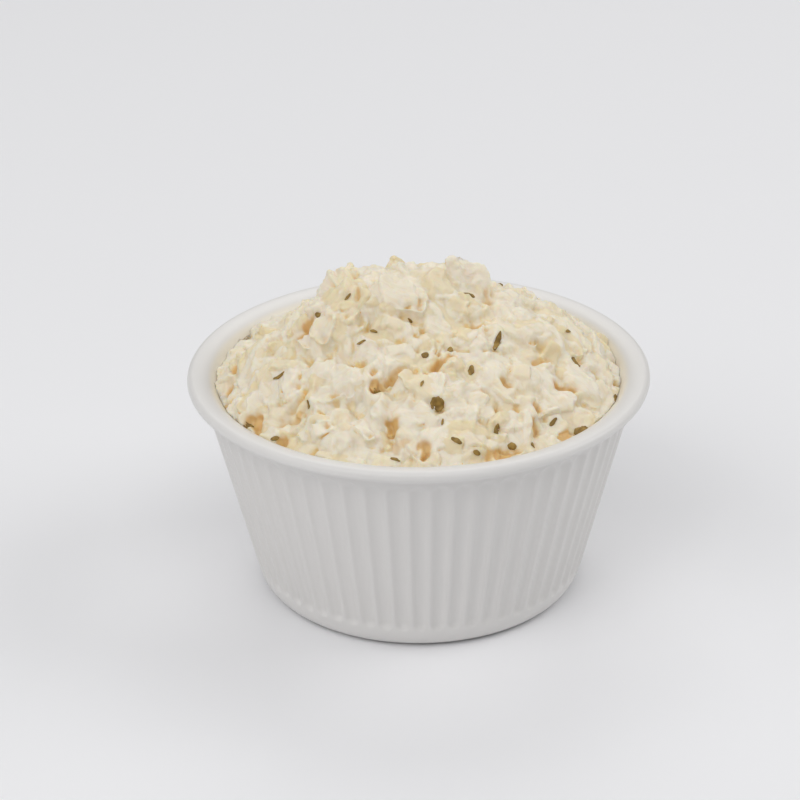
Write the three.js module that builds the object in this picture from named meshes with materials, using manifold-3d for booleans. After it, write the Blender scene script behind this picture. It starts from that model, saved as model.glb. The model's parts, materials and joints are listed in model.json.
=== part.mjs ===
// A white fluted ramekin heaped with chopped, dressed coleslaw and flecked with herbs.
// Millimetres, +Z up. The origin is the centre of the circle that the foot stands on,
// and -Y is the side that faces the viewer.

import * as THREE from "three";
import { mergeVertices } from "three/addons/utils/BufferGeometryUtils.js";
import Module from "manifold-3d";

const wasm = await Module();
wasm.setup();

// The ramekin's driving dimensions: the size that holds about 120 ml.
const RIM_RADIUS = 44.5;
const RIM_HEIGHT = 44.5;
const WALL_HIGH = { radius: 41.1, height: 39.5 }; // crest of a rib, just under the lip
const WALL_LOW = { radius: 32.2, height: 4.2 }; // crest of a rib, where the foot begins
const WALL_THICKNESS = 3.2;
const LIP_ROUNDING = 1.1;
const UNDER_LIP = 0.8; // plain band between the flutes and the lip
const FLARE_DROP = 4; // how far below the rim the inside begins to open
const FLARE_PULL = 0.9; // how far out of the wall's line the flare is pulled
const FLOOR_HEIGHT = 4;
const FOOT_OUTER_RADIUS = 27.9;
const FOOT_INNER_RADIUS = 24.5;
const FOOT_RECESS = 1;
const FOOT_CHAMFER = 1;
const INNER_CORNER_RADIUS = 6;

// The flutes: shallow scoops with a narrow rib left between each pair.
const FLUTE_COUNT = 62;
const FLUTE_BOTTOM = 4.6;
const FLUTE_TOP = 40.2;
const FLUTE_DEPTH = 0.55;
const RIB_WIDTH = 0.7;
const FLUTE_SIDE_SLOPE = 2; // width gained for each unit of depth
const FLUTE_LOW_STEPS = 2; // sides of a flute's round ends
const FLUTE_HIGH_STEPS = 3;
const CUTTER_DEPTH = 1.5; // of a flute's cutter, as a multiple of the flute's depth

// The heap: a bare core, and the chopped pieces that lie on it and show.
const SLAW_GAP = 0.35; // clear of the ramekin
const CORE_GAP = 0.6;
const ROOM_TOP = 90; // above every piece
const BED_RADIUS = 38.2;
const BED_HEIGHT = 41.2; // where the core meets the wall
const CORE_SHOULDER = 2; // how far below the bed the core's side ends
const DOME_HEIGHT = 15.9;
const DOME_POWER = 1.9;
const MOUNDS = [
  { x: -15, y: 1, spreadX: 23, spreadY: 12, height: 6.6, power: 2 }, // the flat-topped clump
  { x: 24, y: 5, spreadX: 15, spreadY: 15, height: 2.7, power: 1 }, // right shoulder
  { x: -27, y: 6, spreadX: 9, spreadY: 9, height: -7.9, power: 1 }, // hollow beside the clump
];
const CORE_SIDES = FLUTE_COUNT / 2;
const CORE_RINGS = 8;

// The chopped pieces: ranges of their sizes, of how far their middles stand off the core and of how far
// they lean, in radians. Rows and columns are the grid that a thin piece is made of.
const SEED = 20260;
const PIECE_COUNT = 86;
const SPREAD_RADIUS = BED_RADIUS - 2; // the pieces' middles lie within it
const RADIUS_NUDGE = [-0.8, 0.8]; // off the spiral that they are spread on
const ANGLE_NUDGE = [-0.12, 0.12];
const LEAF = {
  length: [7, 11.5],
  width: [4.5, 7],
  thickness: 1.3,
  rows: 2,
  columns: 2,
  lift: [0.6, 1.5],
  lean: 0.35,
};
const SHRED = {
  length: [7, 13],
  width: [1.8, 3],
  thickness: 1.4,
  rows: 1,
  columns: 3,
  lift: [0.8, 1.7],
  lean: 0.3,
};
const BIT = { length: [3, 5.4], width: [2.4, 3.8], height: [1.8, 2.8], lift: [0.6, 1.4], lean: 0.4 };

// The larger pieces that stand out, each by its place on the heap, its size, how far its middle stands
// off the core, and its turns in degrees: heading about the heap's normal, tip about its own length and
// rise about its own width.
const STAND_OUTS = [
  { x: 9, y: 3, lift: 3.2, length: 8.5, width: 7.5, turns: [0, 74, 0] }, // upright flake on top
  { x: -15, y: 1, lift: 1.4, length: 9, width: 8, turns: [70, -14, -8] }, // curled, top left
  { x: -5, y: 1, lift: 0.6, length: 11, width: 7, turns: [12, 10, 0] }, // curled, top middle
  { x: 9, y: -4, lift: 0.9, length: 13, width: 7, turns: [0, 10, 0] }, // domed, below the flake
  { x: 17, y: -12, lift: 0.8, length: 14, width: 9, turns: [-35, 0, 4] }, // broad, right of centre
  { x: 32, y: -7, lift: 0.7, length: 12, width: 7, turns: [35, 0, 0] }, // right edge
  { x: 10, y: -31, lift: 1.0, length: 11, width: 3.6, turns: [-4, 16, 0] }, // strip, front
  { x: 20, y: -25, lift: 1.4, length: 12, width: 2.6, turns: [84, 0, 6] }, // strand, front right
  { x: 17, y: -32, lift: 0.6, length: 12, width: 3, turns: [22, 24, 0] }, // crescent at the rim
  { x: -13, y: -33, lift: 0.8, length: 15, width: 6, turns: [-18, 8, 0] }, // long, front left
  { x: -28, y: -21, lift: 1.0, length: 10, width: 5, turns: [-30, 12, 8] }, // ragged, left front
  { x: -29, y: -7, lift: 0.8, length: 12, width: 7, turns: [50, 6, 0] }, // left edge
  { x: -16, y: -20, lift: 0.9, length: 12, width: 8, turns: [20, -6, 0] }, // fan, left of centre
  { x: -3, y: -28, lift: 0.9, length: 11, width: 7, turns: [-12, 4, 0] }, // slab, front middle
];

// The herb flecks that are large enough to feel, each by its place, its size and its heading in degrees.
const HERBS = [
  { x: 8.6, y: -1.5, length: 3.4, width: 1.4, heading: 8 }, // at the foot of the upright flake
  { x: -12.7, y: -5.6, length: 1.9, width: 0.9, heading: 50 },
  { x: -8.2, y: -11.1, length: 1.8, width: 0.9, heading: -20 },
  { x: -10.3, y: -13, length: 2, width: 0.9, heading: 0 },
  { x: 5.9, y: -14.5, length: 1.6, width: 1.1, heading: 80 },
  { x: 1.2, y: -17, length: 1.6, width: 1.1, heading: 0 },
  { x: 14.3, y: -11.8, length: 4.2, width: 1.1, heading: 78 },
  { x: 29.1, y: -7.4, length: 2.4, width: 1.2, heading: -20 },
  { x: 9.5, y: -19.2, length: 2, width: 1.1, heading: 85 },
  { x: -25.2, y: -13.8, length: 2.8, width: 0.9, heading: 0 },
  { x: 3.3, y: -26.6, length: 2.7, width: 2.5, heading: 0 }, // round
  { x: -19.9, y: -22.7, length: 1.7, width: 0.9, heading: 80 },
  { x: 29.4, y: -23.5, length: 3.4, width: 1.5, heading: 40 },
  { x: 13.9, y: -29.8, length: 1.9, width: 1, heading: 85 },
  { x: 6.5, y: -33.5, length: 2.2, width: 0.9, heading: -30 },
  { x: 16.7, y: -31.7, length: 1.8, width: 1.3, heading: 10 },
  { x: -4.2, y: -36.2, length: 2, width: 0.9, heading: -20 },
  { x: -31.1, y: -20.8, length: 2.4, width: 1.2, heading: -50 },
];
const HERB_THICKNESS = 0.7;
const HERB_LIFT = 1.9;

// A repeatable stream of numbers from 0 to 1.
function seededDraw(seed) {
  let state = seed >>> 0;
  return () => {
    state = (state + 0x6d2b79f5) >>> 0;
    let mixed = Math.imul(state ^ (state >>> 15), 1 | state);
    mixed = (mixed + Math.imul(mixed ^ (mixed >>> 7), 61 | mixed)) ^ mixed;
    return ((mixed ^ (mixed >>> 14)) >>> 0) / 4294967296;
  };
}

const between = (draw, [low, high]) => low + (high - low) * draw();

// Solids and geometries

function solidOf(geometry) {
  const bare = geometry.clone();
  bare.deleteAttribute("normal");
  bare.deleteAttribute("uv");
  const merged = mergeVertices(bare, 1e-4);
  const corners = merged.index.array;
  const kept = [];
  for (let i = 0; i < corners.length; i += 3) {
    const [a, b, c] = corners.slice(i, i + 3);
    if (a !== b && b !== c && c !== a) kept.push(a, b, c);
  }
  return new wasm.Manifold(
    new wasm.Mesh({
      numProp: 3,
      vertProperties: merged.attributes.position.array,
      triVerts: new Uint32Array(kept),
    }),
  );
}

function geometryOf(solid) {
  const mesh = solid.getMesh();
  const geometry = new THREE.BufferGeometry();
  geometry.setAttribute("position", new THREE.BufferAttribute(mesh.vertProperties, 3));
  geometry.setIndex(new THREE.BufferAttribute(mesh.triVerts, 1));
  geometry.computeVertexNormals();
  return geometry;
}

// A profile of (radius, height) points turned about the Z axis.
function turned(profile, sides) {
  return new THREE.LatheGeometry(profile, sides).rotateX(Math.PI / 2);
}

function arc(centreRadius, centreHeight, radius, fromDegrees, toDegrees, steps) {
  const points = [];
  for (let i = 0; i <= steps; i++) {
    const angle = THREE.MathUtils.degToRad(fromDegrees + ((toDegrees - fromDegrees) * i) / steps);
    points.push(
      new THREE.Vector2(centreRadius + radius * Math.cos(angle), centreHeight + radius * Math.sin(angle)),
    );
  }
  return points;
}

function curve(start, control, end, steps) {
  return new THREE.QuadraticBezierCurve(start, control, end).getPoints(steps);
}

const at = (radius, height) => new THREE.Vector2(radius, height);

// The ramekin

const WALL_SLOPE = (WALL_HIGH.radius - WALL_LOW.radius) / (WALL_HIGH.height - WALL_LOW.height);
const wallRadius = (height) => WALL_LOW.radius + WALL_SLOPE * (height - WALL_LOW.height);
const innerRadius = (height) => wallRadius(height) - WALL_THICKNESS;

// The inside from the rim down to the middle of the floor, moved in by gap.
function insideProfile(gap) {
  const flareEnd = RIM_HEIGHT - FLARE_DROP;
  const cornerTop = FLOOR_HEIGHT + INNER_CORNER_RADIUS;
  return [
    ...curve(
      at(RIM_RADIUS - LIP_ROUNDING - gap, RIM_HEIGHT + gap),
      at(innerRadius(flareEnd) + FLARE_PULL - gap, RIM_HEIGHT + gap),
      at(innerRadius(flareEnd) - gap, flareEnd),
      3,
    ),
    ...curve(
      at(innerRadius(cornerTop) - gap, cornerTop),
      at(innerRadius(FLOOR_HEIGHT) - gap, FLOOR_HEIGHT + gap),
      at(innerRadius(FLOOR_HEIGHT) - INNER_CORNER_RADIUS - gap, FLOOR_HEIGHT + gap),
      2,
    ),
    at(0, FLOOR_HEIGHT + gap),
  ];
}

function ramekinProfile() {
  const lipCentre = { radius: RIM_RADIUS - LIP_ROUNDING, height: RIM_HEIGHT - LIP_ROUNDING };
  return [
    at(0, FOOT_RECESS),
    at(FOOT_INNER_RADIUS - FOOT_CHAMFER, FOOT_RECESS),
    at(FOOT_INNER_RADIUS, 0),
    ...curve(at(FOOT_OUTER_RADIUS, 0), at(wallRadius(0), 0), at(WALL_LOW.radius, WALL_LOW.height), 2),
    at(wallRadius(FLUTE_TOP + UNDER_LIP), FLUTE_TOP + UNDER_LIP),
    ...arc(lipCentre.radius, lipCentre.height, LIP_ROUNDING, -80, 80, 4),
    ...insideProfile(0),
  ];
}

// One flute's cutter: a tapered, round-ended block with sloping sides. Its small face is the flute's floor,
// and its slopes leave the wall at the flute's full width.
function fluteCutter() {
  const lean = Math.atan(WALL_SLOPE);
  const floorHalfWidth = (height) => {
    const pitch = (2 * Math.PI * wallRadius(height)) / FLUTE_COUNT;
    return (pitch - RIB_WIDTH) / 2 - FLUTE_DEPTH * FLUTE_SIDE_SLOPE;
  };
  const endReach = FLUTE_DEPTH * FLUTE_SIDE_SLOPE;
  const low = { height: FLUTE_BOTTOM + endReach, halfWidth: floorHalfWidth(FLUTE_BOTTOM) };
  const high = { height: FLUTE_TOP - endReach, halfWidth: floorHalfWidth(FLUTE_TOP) };
  const length = (high.height - low.height) / Math.cos(lean);
  const outline = new THREE.Shape([
    ...arc(0, low.halfWidth, low.halfWidth, 180, 360, FLUTE_LOW_STEPS),
    ...arc(0, length - high.halfWidth, high.halfWidth, 0, 180, FLUTE_HIGH_STEPS),
  ]);
  const block = new THREE.ExtrudeGeometry(outline, {
    depth: CUTTER_DEPTH,
    bevelThickness: FLUTE_DEPTH * CUTTER_DEPTH,
    bevelSize: FLUTE_DEPTH * CUTTER_DEPTH * FLUTE_SIDE_SLOPE,
    bevelSegments: 1,
  });
  block.translate(0, 0, (CUTTER_DEPTH - 1) * FLUTE_DEPTH);
  block.rotateX(Math.PI / 2).rotateZ(Math.PI / 2).rotateY(lean);
  const flat = Math.cos(Math.PI / FLUTE_COUNT); // from the axis to the middle of a side
  block.translate(wallRadius(low.height) * flat, 0, low.height);
  return solidOf(block);
}

function ramekin() {
  let cup = solidOf(turned(ramekinProfile(), FLUTE_COUNT));
  const cutter = fluteCutter();
  for (let i = 0; i < FLUTE_COUNT; i++) {
    cup = cup.subtract(cutter.rotate([0, 0, ((i + 0.5) * 360) / FLUTE_COUNT]));
  }
  const mesh = new THREE.Mesh(
    geometryOf(cup),
    new THREE.MeshStandardMaterial({ color: 0xe9e8e6, roughness: 0.28, metalness: 0 }),
  );
  mesh.name = "ramekin";
  return mesh;
}

// The coleslaw

// The bare core's surface: a dome with mounds, which the pieces lie on.
function coreHeight(x, y) {
  const share = Math.min(1, Math.hypot(x, y) / BED_RADIUS);
  let height = BED_HEIGHT + DOME_HEIGHT * (1 - share ** DOME_POWER);
  for (const mound of MOUNDS) {
    const away = ((x - mound.x) / mound.spreadX) ** 2 + ((y - mound.y) / mound.spreadY) ** 2;
    height += mound.height * Math.exp(-(away ** mound.power)) * (1 - share ** 6);
  }
  return height;
}

function coreNormal(x, y) {
  const step = 0.5;
  const alongX = (coreHeight(x + step, y) - coreHeight(x - step, y)) / (2 * step);
  const alongY = (coreHeight(x, y + step) - coreHeight(x, y - step)) / (2 * step);
  return new THREE.Vector3(-alongX, -alongY, 1).normalize();
}

function bareCore() {
  const rise = [];
  for (let i = 0; i <= CORE_RINGS; i++) {
    const radius = BED_RADIUS * (1 - i / CORE_RINGS);
    rise.push(at(radius, coreHeight(radius, 0)));
  }
  const below = insideProfile(CORE_GAP).filter((p) => p.y < BED_HEIGHT - CORE_SHOULDER).reverse();
  const core = turned([...below, ...rise], CORE_SIDES);
  const points = core.attributes.position;
  for (let i = 0; i < points.count; i++) {
    const [x, y, z] = [points.getX(i), points.getY(i), points.getZ(i)];
    if (z > BED_HEIGHT - CORE_SHOULDER) points.setZ(i, coreHeight(x, y));
  }
  return solidOf(core);
}

// A thin piece: a flat grid shaped by bend(u, v), with u and v from -0.5 to 0.5, thickened both ways
// and closed round its edge. Both faces are split into triangles alike.
function sheet({ columns, rows, thickness }, bend) {
  const grid = new THREE.PlaneGeometry(1, 1, columns, rows);
  const points = grid.attributes.position;
  const faces = grid.index.array;
  const count = points.count;
  const positions = [];
  for (const side of [0.5, -0.5]) {
    for (let i = 0; i < count; i++) {
      const p = bend(points.getX(i), points.getY(i));
      positions.push(p.x, p.y, p.z + side * thickness);
    }
  }
  const index = [];
  const edges = new Set();
  for (let i = 0; i < faces.length; i += 3) {
    const [a, b, c] = faces.slice(i, i + 3);
    index.push(a, b, c, c + count, b + count, a + count);
    edges.add(a * count + b).add(b * count + c).add(c * count + a);
  }
  for (const edge of edges) {
    const [from, to] = [Math.floor(edge / count), edge % count];
    if (edges.has(to * count + from)) continue;
    index.push(from, from + count, to + count, from, to + count, to);
  }
  const closed = new THREE.BufferGeometry();
  closed.setAttribute("position", new THREE.Float32BufferAttribute(positions, 3));
  closed.setIndex(index);
  return closed;
}

// A chopped leaf: blunt corners, one side longer than the other, cupped and rippled.
function leaf(size, draw) {
  const [length, width] = [between(draw, size.length), between(draw, size.width)];
  const cup = between(draw, [-0.022, 0.034]);
  const ripple = between(draw, [0.2, 0.7]);
  const phase = between(draw, [0, 6]);
  const skew = between(draw, [-0.5, 0.5]);
  return sheet(size, (u, v) => {
    const x = length * u * (1 - 0.9 * v * v) + skew * width * v;
    const y = width * v * (1 - 1.3 * u * u);
    return new THREE.Vector3(x, y, -cup * x * x + ripple * Math.sin(0.55 * x + phase) * (v + 0.3));
  });
}

// A shred: a narrow strip that arches, curves sideways and twists a little.
function shred(size, draw) {
  const [length, width] = [between(draw, size.length), between(draw, size.width)];
  const arch = between(draw, [0.008, 0.03]);
  const sway = between(draw, [-0.025, 0.025]);
  const twist = between(draw, [-0.05, 0.05]);
  return sheet(size, (u, v) => {
    const x = length * u;
    const y = width * v * (1 - 1.1 * u * u);
    return new THREE.Vector3(x, y + sway * x * x, -arch * x * x + twist * x * y);
  });
}

// A diced bit: a block narrowed towards the top.
function bit(size, draw) {
  const block = new THREE.BoxGeometry(
    between(draw, size.length),
    between(draw, size.width),
    between(draw, size.height),
  );
  const points = block.attributes.position;
  const taper = between(draw, [0.6, 0.9]);
  for (let i = 0; i < points.count; i++) {
    if (points.getZ(i) > 0) points.setXY(i, points.getX(i) * taper, points.getY(i) * taper);
  }
  return block;
}

// Lays a piece on the heap: its own Z along the heap's normal there, turned by heading, then tipped
// about its own length and raised about its own width. Lift is how far its middle stands off the core.
function layOnHeap(piece, { x, y, lift, heading, tip, rise }) {
  const normal = coreNormal(x, y);
  const upright = new THREE.Quaternion().setFromUnitVectors(new THREE.Vector3(0, 0, 1), normal);
  const turn = new THREE.Quaternion().setFromAxisAngle(new THREE.Vector3(0, 0, 1), heading);
  const lean = new THREE.Quaternion().setFromEuler(new THREE.Euler(tip, rise, 0));
  piece.applyQuaternion(upright.multiply(turn).multiply(lean));
  const middle = new THREE.Vector3(x, y, coreHeight(x, y)).addScaledVector(normal, lift);
  return piece.translate(middle.x, middle.y, middle.z);
}

// Pieces spread evenly over the heap on a spiral, from the middle outwards, with the kinds in turn.
function spreadOverHeap(count, kinds, draw) {
  const goldenAngle = Math.PI * (3 - Math.sqrt(5));
  const pieces = [];
  for (let i = 0; i < count; i++) {
    const radius = SPREAD_RADIUS * Math.sqrt((i + 0.5) / count) + between(draw, RADIUS_NUDGE);
    const angle = i * goldenAngle + between(draw, ANGLE_NUDGE);
    const { make, size } = kinds[i % kinds.length];
    pieces.push(
      layOnHeap(make(size, draw), {
        x: radius * Math.cos(angle),
        y: radius * Math.sin(angle),
        lift: between(draw, size.lift),
        heading: between(draw, [0, 2 * Math.PI]),
        tip: between(draw, [-size.lean, size.lean]),
        rise: between(draw, [-size.lean, size.lean]),
      }),
    );
  }
  return pieces;
}

function standOuts(draw) {
  return STAND_OUTS.map(({ x, y, lift, length, width, turns }) => {
    const [heading, tip, rise] = turns.map(THREE.MathUtils.degToRad);
    const piece = leaf({ ...LEAF, length: [length, length], width: [width, width] }, draw);
    return layOnHeap(piece, { x, y, lift, heading, tip, rise });
  });
}

// Small flat flakes that lie on the pieces, fused to them.
function herbs() {
  return HERBS.map(({ x, y, length, width, heading }) => {
    const flake = sheet(
      { columns: 1, rows: 1, thickness: HERB_THICKNESS },
      (u, v) => new THREE.Vector3(length * u, width * v * (1 - u), 0),
    );
    const turn = THREE.MathUtils.degToRad(heading);
    return layOnHeap(flake, { x, y, lift: HERB_LIFT, heading: turn, tip: 0, rise: 0 });
  });
}

// The room that the heap may fill: the ramekin's inside, less the gap, and the space over it.
function roomForSlaw() {
  const inside = insideProfile(SLAW_GAP).reverse();
  const mouth = inside[inside.length - 1];
  return solidOf(turned([...inside, at(mouth.x, ROOM_TOP), at(0, ROOM_TOP)], FLUTE_COUNT));
}

function coleslaw() {
  const draw = seededDraw(SEED);
  const chopped = [
    { make: leaf, size: LEAF },
    { make: bit, size: BIT },
    { make: shred, size: SHRED },
    { make: bit, size: BIT },
  ];
  const pieces = [...standOuts(draw), ...spreadOverHeap(PIECE_COUNT, chopped, draw), ...herbs()];
  let heap = bareCore();
  for (const piece of pieces) heap = heap.add(solidOf(piece));
  heap = heap.intersect(roomForSlaw());
  const [whole] = heap.decompose().sort((a, b) => b.volume() - a.volume());
  const mesh = new THREE.Mesh(
    geometryOf(whole),
    new THREE.MeshStandardMaterial({ color: 0xe3d9c0, roughness: 0.5, metalness: 0 }),
  );
  mesh.name = "coleslaw";
  return mesh;
}

const dish = new THREE.Group();
dish.add(ramekin(), coleslaw());

export default dish;
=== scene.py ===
# %% [markdown]
# # A ramekin of coleslaw
#
# A small white melamine ramekin with a fluted wall is heaped with finely chopped cabbage in a creamy
# dressing. This lesson dresses a plain solid model of it, which fixes every size, and each piece made here
# stands where its solid stands. Lengths are in metres, so millimetres are written times MM.

from collections import namedtuple
import json
import math

import bmesh
import bpy
import numpy as np
from mathutils import Matrix, Quaternion, Vector, interpolate, noise
from mathutils.bvhtree import BVHTree

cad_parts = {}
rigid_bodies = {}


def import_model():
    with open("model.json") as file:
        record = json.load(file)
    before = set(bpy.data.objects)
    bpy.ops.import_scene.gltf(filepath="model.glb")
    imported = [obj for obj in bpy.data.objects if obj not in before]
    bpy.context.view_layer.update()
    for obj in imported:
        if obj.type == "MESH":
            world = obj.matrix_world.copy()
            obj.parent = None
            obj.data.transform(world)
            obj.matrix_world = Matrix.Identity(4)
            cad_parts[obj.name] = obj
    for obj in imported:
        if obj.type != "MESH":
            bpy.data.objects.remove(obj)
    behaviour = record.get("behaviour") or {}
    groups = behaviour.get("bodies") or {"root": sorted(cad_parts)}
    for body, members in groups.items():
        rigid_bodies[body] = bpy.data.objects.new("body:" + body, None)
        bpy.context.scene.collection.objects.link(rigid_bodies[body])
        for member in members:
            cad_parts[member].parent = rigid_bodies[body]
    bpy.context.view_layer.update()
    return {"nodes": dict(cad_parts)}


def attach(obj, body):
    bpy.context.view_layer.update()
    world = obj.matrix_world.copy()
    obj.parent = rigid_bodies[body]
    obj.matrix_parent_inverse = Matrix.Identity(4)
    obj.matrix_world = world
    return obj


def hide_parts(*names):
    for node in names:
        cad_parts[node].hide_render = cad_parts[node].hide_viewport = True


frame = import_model()
MM = 0.001
UP = Vector((0, 0, 1))


def add_to_scene(name, data):
    item = bpy.data.objects.new(name, data)
    bpy.context.scene.collection.objects.link(item)
    return item


print("solid nodes:", sorted(frame["nodes"]))

# %% [markdown]
# ## Camera
#
# The photograph looks down on the ramekin by 28 degrees through a long lens from half a metre away. The
# place and the lens come from the circles of the rim and the foot, whose real sizes are known. The camera
# first looks straight at a point on the ramekin's axis, then turns a little so that this point falls at
# its own pixel, which is better than a lens shift because a turn keeps the perspective true.

# %% Camera
FRAME_PIXELS = 800
SENSOR_WIDTH = 36
CAMERA_DISTANCE = 533.1 * MM
CAMERA_ELEVATION = math.radians(27.79)
CAMERA_ROLL = math.radians(0.476)
FOCAL_PIXELS = 2715.1
AIM_POINT = Vector((0, 0, 22 * MM))
AIM_PIXEL = (419.3, 469.7)


def add_camera():
    backwards = Vector((0, -math.cos(CAMERA_ELEVATION), math.sin(CAMERA_ELEVATION)))
    looking = (-backwards).to_track_quat("-Z", "Y")
    middle = FRAME_PIXELS / 2
    towards_pixel = Vector((AIM_PIXEL[0] - middle, middle - AIM_PIXEL[1], -FOCAL_PIXELS))
    turned = (-UP).rotation_difference(towards_pixel).inverted()
    data = bpy.data.cameras.new("camera")
    data.sensor_width = SENSOR_WIDTH
    data.lens = FOCAL_PIXELS * SENSOR_WIDTH / FRAME_PIXELS
    camera = add_to_scene("camera", data)
    rotation = looking @ Quaternion(UP, -CAMERA_ROLL) @ turned
    place = AIM_POINT + backwards * CAMERA_DISTANCE
    camera.matrix_world = Matrix.LocRotScale(place, rotation, None)
    bpy.context.scene.camera = camera
    return camera


camera = add_camera()
print("lens:", round(camera.data.lens, 1), "mm")

# %% [markdown]
# ## Helpers
#
# Every piece is a bmesh that becomes one object at the origin, with its place in its mesh. Round stretches
# of an outline are arcs or curves, so an outline keeps only the points that its shape needs.

# %% Helpers for meshes and outlines
def arc(radius, height, size, start, end, steps):
    """Points (radius, height) round a corner, from one angle to another in degrees."""
    angles = np.radians(np.linspace(start, end, steps + 1))
    return [(radius + size * math.cos(a), height + size * math.sin(a)) for a in angles]


def curve(start, control, end, steps):
    """Points on a curve that leaves start towards control and arrives at end from it."""
    points = []
    for t in np.linspace(0, 1, steps + 1):
        near, middle, far = (1 - t) ** 2, 2 * t * (1 - t), t * t
        points.append(tuple(near * a + middle * b + far * c for a, b, c in zip(start, control, end)))
    return points


def straight(start, end, steps):
    """Points between two ends, without the ends themselves."""
    return [tuple(np.add(start, np.subtract(end, start) * i / steps)) for i in range(1, steps)]


def grid(length, width, step):
    """A unit square cut into cells that are about a step wide once it is stretched to its size."""
    bm = bmesh.new()
    columns, rows = (max(3, round(size / step)) for size in (length, width))
    bmesh.ops.create_grid(bm, x_segments=columns, y_segments=rows, size=0.5)
    return bm


def face_outwards(bm):
    bmesh.ops.recalc_face_normals(bm, faces=bm.faces[:])


def spin_outline(outline, steps):
    """Turns an outline of (radius, height) in millimetres about the Z axis into a closed bmesh."""
    bm = bmesh.new()
    points = [bm.verts.new((radius * MM, 0, height * MM)) for radius, height in outline]
    for first, second in zip(points, points[1:]):
        bm.edges.new((first, second))
    turn = {"axis": (0, 0, 1), "angle": 2 * math.pi, "steps": steps, "use_merge": True}
    bmesh.ops.spin(bm, geom=bm.verts[:] + bm.edges[:], cent=(0, 0, 0), **turn)
    bmesh.ops.remove_doubles(bm, verts=bm.verts[:], dist=0.001 * MM)
    face_outwards(bm)
    return bm


def finish_piece(bm, name, node, material):
    """Makes a bmesh into a smooth object that stands for a CAD node."""
    mesh = bpy.data.meshes.new(name)
    bm.to_mesh(mesh)
    bm.free()
    mesh.polygons.foreach_set("use_smooth", [True] * len(mesh.polygons))
    mesh.materials.append(material)
    piece = add_to_scene(name, mesh)
    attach(piece, "root")
    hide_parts(node)
    mesh.calc_loop_triangles()
    print(name + ":", len(mesh.loop_triangles), "triangles")
    return piece


def seeded_draw(seed):
    """A repeatable stream of numbers between two limits, the same one that strewed the solid heap."""
    whole = 0xFFFFFFFF
    state = seed & whole

    def draw(low=0, high=1):
        nonlocal state
        state = (state + 0x6D2B79F5) & whole
        mixed = ((state ^ (state >> 15)) * (1 | state)) & whole
        mixed = ((mixed + (mixed ^ (mixed >> 7)) * (61 | mixed)) ^ mixed) & whole
        return low + (high - low) * (((mixed ^ (mixed >> 14)) & whole) / 4294967296)

    return draw


# %% [markdown]
# ## Materials
#
# A material's nodes are wired by hand here, so small helpers keep that short: one adds a node and fills its
# inputs, and the others add the kinds of node that these materials share. Colours are measured as the eye
# sees them, so they are changed to Blender's linear values once.

# %% Helpers for materials
def linear(red, green, blue):
    """A colour of 0 to 255 as Blender's linear values."""
    shares = [value / 255 for value in (red, green, blue)]
    values = [s / 12.92 if s <= 0.04045 else ((s + 0.055) / 1.055) ** 2.4 for s in shares]
    return (*values, 1)


def new_material(name):
    material = bpy.data.materials.new(name)
    material.use_nodes = True
    return material, material.node_tree, material.node_tree.nodes["Principled BSDF"]


def wire(tree, node, inputs):
    """Fills a node's inputs, which are numbers to set or sockets to link from."""
    for name, value in inputs.items():
        if isinstance(value, bpy.types.NodeSocket):
            tree.links.new(value, node.inputs[name])
        else:
            node.inputs[name].default_value = value


def add_node(tree, kind, inputs=None, **settings):
    node = tree.nodes.new(kind)
    for name, value in settings.items():
        setattr(node, name, value)
    wire(tree, node, inputs or {})
    return node


def add_ramp(tree, factor, low, high):
    """A value from 0 to 1 as factor goes from low to high."""
    node = add_node(tree, "ShaderNodeMapRange", {"Value": factor, "From Min": low, "From Max": high})
    node.interpolation_type = "SMOOTHSTEP"
    return node.outputs["Result"]


def add_mix(tree, factor, first, second):
    """A colour that goes from first to second as factor goes from 0 to 1."""
    node = tree.nodes.new("ShaderNodeMix")
    node.data_type = "RGBA"
    wire(tree, node, {"Factor": factor, 6: first, 7: second})
    return node.outputs[2]


def add_range(tree, value, low, high):
    """Carries a value of 0 to 1 over to low to high."""
    inputs = {"Value": value, "To Min": low, "To Max": high}
    return add_node(tree, "ShaderNodeMapRange", inputs).outputs["Result"]


def add_noise(tree, place, scale, detail):
    inputs = {"Vector": place, "Scale": scale, "Detail": detail}
    return add_node(tree, "ShaderNodeTexNoise", inputs).outputs["Fac"]


def add_bump(tree, height, strength, distance, **normal):
    inputs = {"Height": height, "Strength": strength, "Distance": distance, **normal}
    return add_node(tree, "ShaderNodeBump", inputs).outputs["Normal"]


# %% [markdown]
# ## The ramekin
#
# A melamine ramekin is moulded in one piece: a foot ring, a leaning wall with shallow scoops that leave
# narrow ribs between them, and a thick rolled lip. One outline is spun about the axis. The scoops could be
# cut with 62 tools, but a spun mesh whose steps match the flutes can simply be pressed in, so each point
# of the wall is moved by the depth that a round-ended cutter would leave there.

# %% The ramekin's sizes, in millimetres
RIM_RADIUS = 44.5
RIM_HEIGHT = 44.5
WALL_HIGH = (41.1, 39.5)
WALL_LOW = (32.2, 4.2)
WALL_THICKNESS = 3.2
LIP_ROUNDING = 1.1
FLARE_DROP = 4
FLARE_PULL = 0.9
FLOOR_HEIGHT = 4
FOOT_OUTER_RADIUS = 27.9
FOOT_INNER_RADIUS = 24.5
FOOT_RECESS = 1
INNER_CORNER_RADIUS = 6
FLUTE_COUNT = 62
FLUTE_BOTTOM = 4.6
FLUTE_TOP = 40.2
FLUTE_DEPTH = 0.65
RIB_WIDTH = 0.7
STEPS_PER_FLUTE = 12

WALL_SLOPE = (WALL_HIGH[0] - WALL_LOW[0]) / (WALL_HIGH[1] - WALL_LOW[1])
WALL_LEAN = math.atan(WALL_SLOPE)


def wall_radius(height):
    return WALL_LOW[0] + WALL_SLOPE * (height - WALL_LOW[1])


def inner_radius(height):
    return wall_radius(height) - WALL_THICKNESS


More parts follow.
